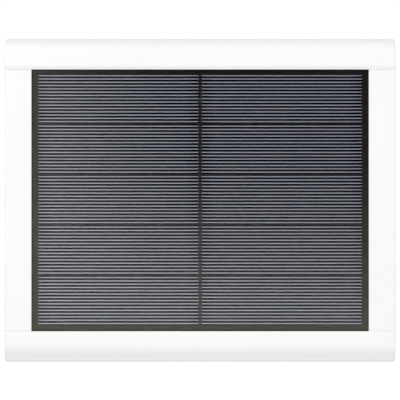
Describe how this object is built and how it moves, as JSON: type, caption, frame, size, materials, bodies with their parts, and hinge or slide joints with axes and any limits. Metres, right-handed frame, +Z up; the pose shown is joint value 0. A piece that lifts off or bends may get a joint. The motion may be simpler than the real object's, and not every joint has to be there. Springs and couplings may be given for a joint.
{
  "type": "solar charging panel",
  "caption": "Flat white-framed solar charging panel for a wireless outdoor camera, on a short wall arm with a lockable ball joint.",
  "frame": {"origin": "centre of the wall base's back face, on the wall, at the middle of its screw circle", "axes": "+Z up the wall, +X to the right of somebody facing the panel, +Y into the wall"},
  "size_m": [0.194, 0.112, 0.161],
  "materials": {
    "white_plastic": "satin white UV-stable moulding, fine spark texture",
    "seal_rubber": "soft grey-black silicone rubber",
    "plug_rubber": "soft white rubber",
    "black_foam": "black closed-cell foam",
    "cover_glass": "clear low-iron glass, smooth",
    "clear_film": "clear encapsulant film",
    "silicon": "blue-black textured silicon with fine grey conductor lines",
    "tinned_copper": "bright tinned copper",
    "black_ribbon": "copper ribbon under a black lacquer",
    "silver_paste": "fired silver conductor lines",
    "black_backing": "warm black laminate board",
    "circuit_board": "green solder mask",
    "chip_black": "moulded black epoxy",
    "ferrite": "dark grey ferrite",
    "can_aluminium": "bare drawn can",
    "connector_plastic": "ivory nylon",
    "lead_red": "red insulation",
    "lead_black": "black insulation",
    "steel": "stainless steel, turned",
    "brass": "turned brass",
    "acetal": "natural acetal, smooth",
    "grey_plastic": "grey nylon"
  },
  "bodies": {
    "wall_mount": {"wall_base": "white_plastic", "mount_arm": "white_plastic", "stud_insert": "brass", "stud_clip": "steel", "arm_screw": "steel", "arm_dowels": "steel", "stud_washer": "steel"},
    "ball_stud": {"ball_stud": "steel"},
    "liner": {"ball_liner": "acetal"},
    "panel": {"front_frame": "white_plastic", "rear_shell": "white_plastic", "shell_gasket": "seal_rubber", "frame_tape": "black_foam", "cover_glass": "cover_glass", "encapsulant_film": "clear_film", "solar_cells": "silicon", "cell_ribbons": "black_ribbon", "backing_board": "black_backing", "terminal_pads": "tinned_copper", "support_pads": "black_foam", "regulator_board": "circuit_board", "board_screws": "steel", "converter_chip": "chip_black", "inductor": "ferrite", "capacitors": "can_aluminium", "output_connector": "connector_plastic", "positive_lead": "lead_red", "negative_lead": "lead_black", "board_tags": "tinned_copper", "shell_screws": "steel", "screw_plugs": "plug_rubber", "cable_gland": "white_plastic", "gland_seal": "seal_rubber", "gland_nut": "grey_plastic", "vent_cap": "grey_plastic", "socket_seal": "seal_rubber", "socket_cup": "white_plastic", "socket_screws": "steel"},
    "ring_washer": {"slip_washer": "acetal"},
    "lock_ring": {"lock_ring": "white_plastic"}
  },
  "joints": [
    {"name": "ball_roll", "type": "hinge", "parent": "wall_mount", "child": "ball_stud", "pos_m": [0, -0.084, 0], "axis": [0, 1, 0], "range_deg": [-180, 180]},
    {"name": "ball_pan", "type": "hinge", "parent": "ball_stud", "child": "liner", "pos_m": [0, -0.084, 0], "axis": [0, 0, 1], "range_deg": [-30, 30]},
    {"name": "ball_tilt", "type": "hinge", "parent": "liner", "child": "panel", "pos_m": [0, -0.084, 0], "axis": [1, 0, 0], "range_deg": [-35, 35]},
    {"name": "ring_travel", "type": "slide", "parent": "panel", "child": "ring_washer", "axis": [0, 1, 0], "range_m": [0, 0.0015]},
    {"name": "ring_turn", "type": "hinge", "parent": "ring_washer", "child": "lock_ring", "pos_m": [0, -0.084, 0], "axis": [0, 1, 0], "range_deg": [0, 180]}
  ],
  "couplings": [
    {"joint": "ring_turn", "follows": "ring_travel", "rad_per_m": 2094.3}
  ]
}
